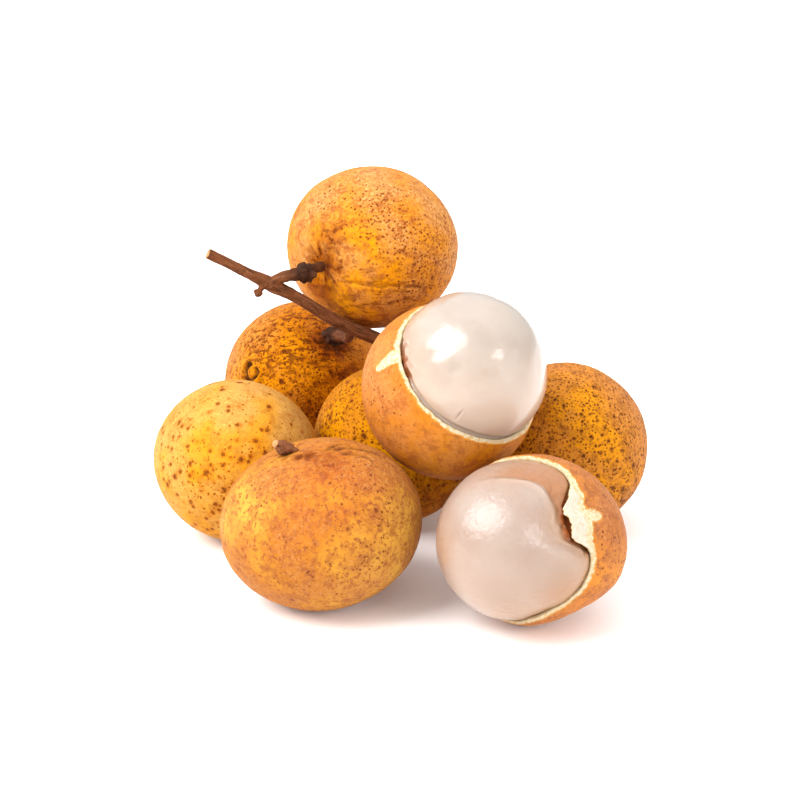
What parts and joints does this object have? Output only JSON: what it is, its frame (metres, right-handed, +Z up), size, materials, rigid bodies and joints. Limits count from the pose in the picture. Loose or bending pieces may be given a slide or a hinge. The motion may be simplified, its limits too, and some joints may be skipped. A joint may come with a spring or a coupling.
{
  "type": "longan bunch",
  "caption": "Small pile of longans on a twig: whole brown-gold fruits and peeled ones with pale flesh standing out of torn rind.",
  "frame": {"origin": "on the table, in the middle of the space that the bunch takes", "axes": "+Z up, the front fruit and the opening of the lower peeled fruit towards -Y, the cut end of the twig towards -X"},
  "size_m": [0.0804, 0.0936, 0.0574],
  "materials": {
    "rind_front": "orange-brown longan rind, smooth and faintly mottled",
    "rind_left": "pale yellow-tan longan rind with sparse brown spots",
    "rind_back_left": "deep golden longan rind with dense brown streaks",
    "rind_centre": "yellow longan rind with brown speckles",
    "rind_right": "golden-brown longan rind with dark spots of two sizes",
    "rind_top": "golden-tan longan rind with fine dark dots",
    "rind_upper": "orange longan rind, torn, with a cream inner layer",
    "rind_lower": "brown-pink longan rind, torn, with a cream inner layer",
    "flesh": "wet, milky, translucent longan flesh",
    "bark": "rough red-brown bark of a thin twig"
  },
  "bodies": {
    "root": {"fruit_front": "rind_front", "fruit_left": "rind_left", "fruit_back_left": "rind_back_left", "fruit_centre": "rind_centre", "fruit_right": "rind_right", "fruit_top": "rind_top", "rind_upper": "rind_upper", "rind_lower": "rind_lower", "flesh_upper": "flesh", "flesh_lower": "flesh", "twig": "bark", "stalk_front": "bark", "stalk_left": "bark"}
  },
  "joints": []
}
